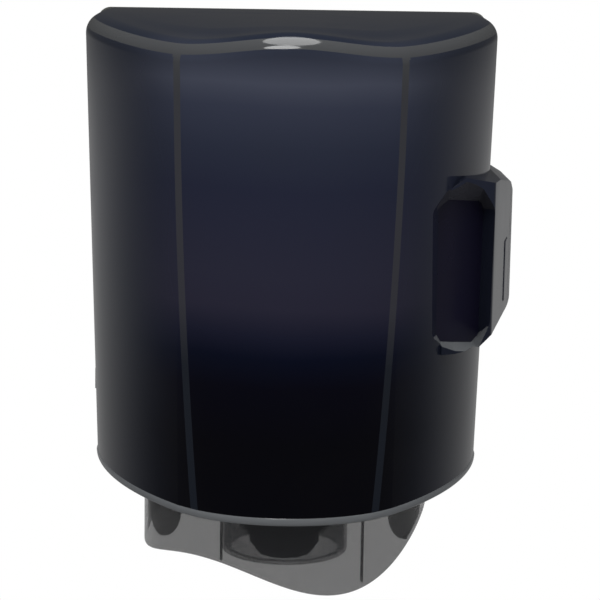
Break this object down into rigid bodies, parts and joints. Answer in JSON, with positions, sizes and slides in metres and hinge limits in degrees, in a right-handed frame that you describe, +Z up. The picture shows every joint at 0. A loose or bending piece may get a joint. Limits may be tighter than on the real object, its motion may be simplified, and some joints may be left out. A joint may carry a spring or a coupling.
{
  "type": "centrefeed roll dispenser",
  "caption": "Wall-mounted centrefeed towel roll dispenser: smoked cover hinged on the left, finger pocket with push-button latch, tray, wavy skirt and fluted nozzle.",
  "frame": {"origin": "middle of the four wall screw holes, on the wall plane", "axes": "X to the user's right, Y into the wall, Z up"},
  "size_m": [0.2777, 0.2613, 0.3421],
  "materials": {
    "housing_plastic": "fine satin",
    "dark_plastic": "satin",
    "steel": "zinc plated",
    "smoked_gloss": "polished, smoked",
    "smoked_clear": "polished, smoked, translucent",
    "frosted_clear": "frosted, translucent",
    "nozzle_rubber": "satin"
  },
  "bodies": {
    "housing": {"rear_housing": "housing_plastic", "latch_block": "housing_plastic", "latch_keeper": "dark_plastic", "keeper_screws": "steel", "block_screws": "steel", "hinge_pin_upper": "steel", "hinge_pin_lower": "steel"},
    "cover": {"cover": "smoked_gloss", "tray": "dark_plastic", "tray_screws": "steel", "skirt": "smoked_clear", "skirt_screws": "steel", "nozzle_cup": "frosted_clear", "cup_screws": "steel", "nozzle_funnel": "frosted_clear", "nozzle_tip": "nozzle_rubber", "nozzle_ring": "dark_plastic", "latch_frame": "dark_plastic", "frame_screws": "steel", "latch_springs": "steel"},
    "latch": {"latch_button": "smoked_gloss", "latch_hooks": "dark_plastic"}
  },
  "joints": [
    {"name": "cover_hinge", "type": "hinge", "parent": "housing", "child": "cover", "pos_m": [-0.1235, -0.012, 0], "axis": [0, 0, -1], "range_deg": [0, 90]},
    {"name": "latch_press", "type": "slide", "parent": "cover", "child": "latch", "axis": [-1, 0, 0], "range_m": [0, 0.004], "stiffness_N_per_m": 400, "springref_m": -0.004, "deforming": ["latch_springs"]}
  ]
}
